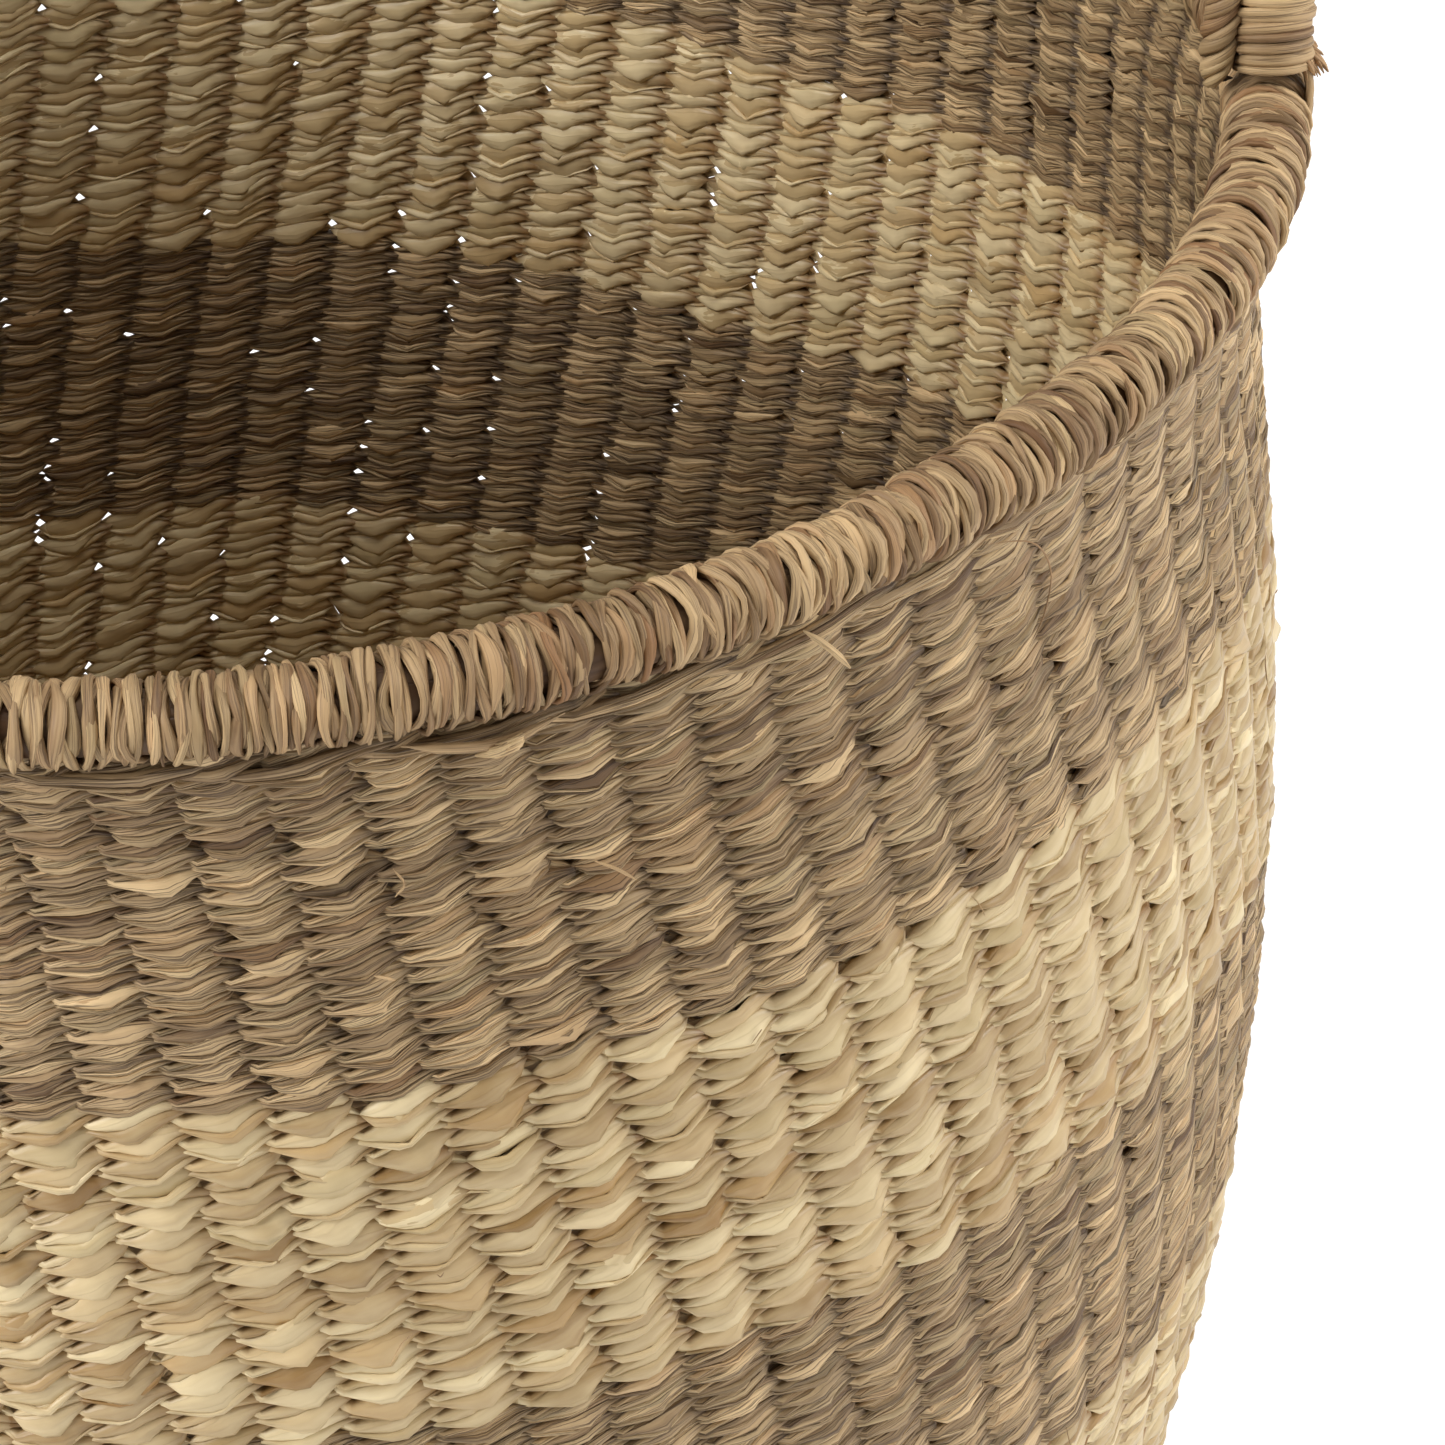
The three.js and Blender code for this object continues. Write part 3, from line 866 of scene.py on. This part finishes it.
def lashing(label, side, end):
    """Heavier turns that tie a foot down round the roll, with the tuft of their cut ends."""
    strands = Strands()
    middle = FOOT_ANGLE * end + (0 if side > 0 else math.pi)
    count = LASHING_TURNS
    t = np.linspace(0, 1, 17)
    theta = np.radians(-70 + 310 * t)[None]
    around = middle * RIM_RADIUS + (np.arange(count) - (count - 1) / 2) * LASHING_PITCH
    around = around + rng.normal(0, 0.0002, count)
    taper = np.clip(np.minimum(t, 1 - t) * 6, 0.3, 1)[None]
    lean_over = rng.uniform(-0.002, 0.002, (count, 1)) * np.cos(theta)
    edge = 1 - (2 * np.abs(np.arange(count) - (count - 1) / 2) / count) ** 2
    rho = 0.0064 + 0.0008 * edge[:, None] + 0.0006 * np.sin(
        theta * 1.5 + rng.uniform(0, TAU, (count, 1)))
    width = rng.uniform(0.0012, 0.0018, (count, 1)) * taper
    wound(strands, around, theta, lean_over, rho, width, BLADE_DEPTH, on_rim, 0.008,
          unit=RIM_RADIUS)
    # Cords that come down outside the roll from the foot.
    cord_t = np.linspace(0, 1, 13)
    for number in range(CORDS):
        down = RIM_HEIGHT + 0.0125 - 0.019 * cord_t
        out = RIM_RADIUS + 0.0046 + 0.0034 * np.sin(math.pi * cord_t ** 0.8)
        phi = middle + end * (0.004 - 0.010 * number + 0.030 * cord_t)
        line = np.stack([out * np.cos(phi), out * np.sin(phi), down], -1)[None]
        free_strands(strands, line, 0.0012, 0.0008, 0.45, 0.0)
    # The tuft.
    count = TUFT
    tuft_t = np.linspace(0, 1, 7)
    phi = middle + end * rng.normal(-0.004, 0.010, (count, 1))
    spread = rng.normal(0, (0.0010, 0.0009), (count, 2)) + (0.0034, -0.0034)
    out = RIM_RADIUS + 0.0052 + rng.normal(0, 0.0006, (count, 1)) + spread[:, :1] * tuft_t
    up = RIM_HEIGHT + 0.0122 + spread[:, 1:] * tuft_t + 0.0010 * np.sin(math.pi * tuft_t)
    turn = phi + end * rng.normal(0, 0.010, (count, 1)) * tuft_t
    lines = np.stack([out * np.cos(turn), out * np.sin(turn), up], -1)
    free_strands(strands, lines, 0.0006, 0.0003, 0.5, 0.5, 4)
    letter = "a" if end < 0 else "b"
    strands.build(f"{label}_lashing_{letter}_turns", rim_grass, f"{label}_lashing_{letter}",
                  2)


for handle_name, handle_side in (("handle_right", 1), ("handle_left", -1)):
    grip(handle_name, handle_side)
    grip_cores(handle_name, handle_side)
    lashing(handle_name, handle_side, -1)
    lashing(handle_name, handle_side, 1)


# Loose ends that stand out from the wall.

HAIRS = 150

def beside_wall(degrees, height, out):
    """Points beside the wall's middle, before its unevenness."""
    phi = np.radians(degrees)
    r = np.interp(height, LINE_Z[SIDE_FROM:], LINE_R[SIDE_FROM:]) + out
    return np.stack(np.broadcast_arrays(r * np.cos(phi), r * np.sin(phi), height), -1)


def curve(stops, steps=15):
    """A smooth line through stops of (degrees, height, distance out from the mid-line)."""
    stops = np.array(stops, float)
    x = np.linspace(0, 1, len(stops))
    t = np.linspace(0, 1, steps)
    return beside_wall(*(through(t, x, stops[:, i]) for i in range(3)))[None]


def loose_ends():
    strands = Strands()
    # A splice under the roll: a long strand, with a pale husk folded over it.
    free_strands(strands, curve([(-87.6, 0.3770, 0.004), (-85.2, 0.3752, 0.0052),
                                 (-82.8, 0.3742, 0.0050), (-80.0, 0.3765, 0.004)], 21),
                 0.0010, 0.0006, 0.55, 0.1)
    for _ in range(7):
        shift = rng.normal(0, (0.12, 0.0004, 0.0003))
        husk = np.array([(-83.9, 0.3715, 0.0032), (-83.2, 0.3735, 0.0058),
                         (-82.5, 0.3742, 0.0058), (-82.0, 0.3728, 0.0038)]) + shift
        free_strands(strands, curve(husk, 9), 0.0011, 0.0005, 0.95, -0.1, 6)
    # A broken straw, short ends of strands, a long curled fibre and fine hairs all round.
    free_strands(strands, curve([(-67.9, 0.3765, 0.0035), (-66.9, 0.3725, 0.0062),
                                 (-65.9, 0.3672, 0.0076)], 9), 0.0007, 0.0004, 0.9, 0.0)
    for stops in ([(-88.1, 0.3505, 0.0035), (-87.7, 0.3485, 0.0055), (-88.2, 0.3465, 0.006)],
                  [(-88.3, 0.3282, 0.0035), (-88.9, 0.3306, 0.0055), (-89.4, 0.332, 0.0065)],
                  [(-78.6, 0.3430, 0.0035), (-77.7, 0.3415, 0.0055), (-76.8, 0.3385, 0.006)]):
        free_strands(strands, curve(stops, 9), 0.00035, 0.0002, 0.8, 0.2)
    free_strands(strands, curve([(-57.6, 0.3765, 0.004), (-55.0, 0.3735, 0.0075),
                                 (-53.4, 0.3640, 0.0080), (-53.1, 0.3540, 0.0065),
                                 (-53.4, 0.3465, 0.0040)], 25), 0.00016, 0.00016, 0.3, 0.3)
    for _ in range(HAIRS):
        degrees, height = rng.uniform(-180, 180), rng.uniform(0.03, 0.372)
        stops = [(degrees, height, 0.0030)]
        heading = rng.normal(0, (0.6, 0.002))
        for _ in range(2):
            heading = heading + rng.normal(0, (0.3, 0.0012))
            last = stops[-1]
            stops.append((last[0] + heading[0], last[1] + heading[1],
                          last[2] + rng.uniform(0.0002, 0.0012)))
        free_strands(strands, curve(stops, 7), 0.00014, 0.00012, rng.uniform(0.2, 0.9), 0.2, 4)
    strands.build("loose_ends", rim_grass, "band_natural_top", 4)


loose_ends()


# Camera, light and floor.

CAMERA_AZIMUTH = math.radians(-6.7)      # of its place, from -Y towards +X
CAMERA_ELEVATION = math.radians(29.05)   # seen from the middle of the rim
CAMERA_TURN = math.radians(6.18)         # looks this far right of the rim's middle
CAMERA_PITCH = math.radians(35.28)       # and this far down
CAMERA_DISTANCE = 5.53 * RIM_RADIUS


def camera():
    place = Vector((math.sin(CAMERA_AZIMUTH) * math.cos(CAMERA_ELEVATION),
                    -math.cos(CAMERA_AZIMUTH) * math.cos(CAMERA_ELEVATION),
                    math.sin(CAMERA_ELEVATION))) * CAMERA_DISTANCE
    place += Vector((0, 0, RIM_HEIGHT))
    yaw = CAMERA_TURN - CAMERA_AZIMUTH
    forward = Vector((math.sin(yaw) * math.cos(CAMERA_PITCH),
                      math.cos(yaw) * math.cos(CAMERA_PITCH), -math.sin(CAMERA_PITCH)))
    data = bpy.data.cameras.new("camera")
    data.lens = 148.2
    data.sensor_width = 36
    data.clip_end = 50
    cam = bpy.data.objects.new("camera", data)
    cam.location = place
    cam.rotation_euler = forward.to_track_quat("-Z", "Y").to_euler()
    bpy.context.scene.collection.objects.link(cam)
    bpy.context.scene.camera = cam


def area_light(name, place, target, size, power):
    data = bpy.data.lights.new(name, "AREA")
    data.shape = "DISK"
    data.size = size
    data.energy = power
    light = bpy.data.objects.new(name, data)
    light.location = place
    light.rotation_euler = (Vector(target) - Vector(place)).to_track_quat("-Z", "Y").to_euler()
    bpy.context.scene.collection.objects.link(light)


def studio():
    world = bpy.data.worlds.new("studio")
    bpy.context.scene.world = world
    world.use_nodes = True
    nodes, link = world.node_tree.nodes, world.node_tree.links.new
    background = nodes["Background"]
    background.inputs["Color"].default_value = (1.0, 0.99, 0.97, 1)
    place = nodes.new("ShaderNodeTexCoord")
    split = nodes.new("ShaderNodeSeparateXYZ")
    level = nodes.new("ShaderNodeMapRange")
    link(place.outputs["Generated"], split.inputs[0])
    link(split.outputs["Z"], level.inputs["Value"])
    level.inputs["From Max"].default_value = 0.2
    level.inputs["To Min"].default_value = 0.9
    level.inputs["To Max"].default_value = 0.18
    link(level.outputs[0], background.inputs["Strength"])
    area_light("key", (1.8, -0.55, 1.4), (0, 0, 0.3), 1.3, 35)
    area_light("fill", (-1.7, -0.4, 1.3), (0, 0, 0.35), 1.2, 36)
    area_light("overhead", (-0.2, -0.2, 2.3), (0, 0, 0.3), 1.2, 14)
    material = bpy.data.materials.new("floor")
    material.use_nodes = True
    shader = material.node_tree.nodes["Principled BSDF"]
    shader.inputs["Base Color"].default_value = (0.4, 0.4, 0.4, 1)
    shader.inputs["Roughness"].default_value = 0.9
    shader.inputs["Emission Color"].default_value = (1, 1, 1, 1)
    shader.inputs["Emission Strength"].default_value = 0.78
    bpy.ops.mesh.primitive_plane_add(size=30, location=(0, 0, -0.0005))
    floor = bpy.context.object
    floor.name = "floor"
    floor.data.materials.append(material)
    bpy.context.scene.view_settings.view_transform = "Standard"
    bpy.context.scene.view_settings.look = "None"


camera()
studio()
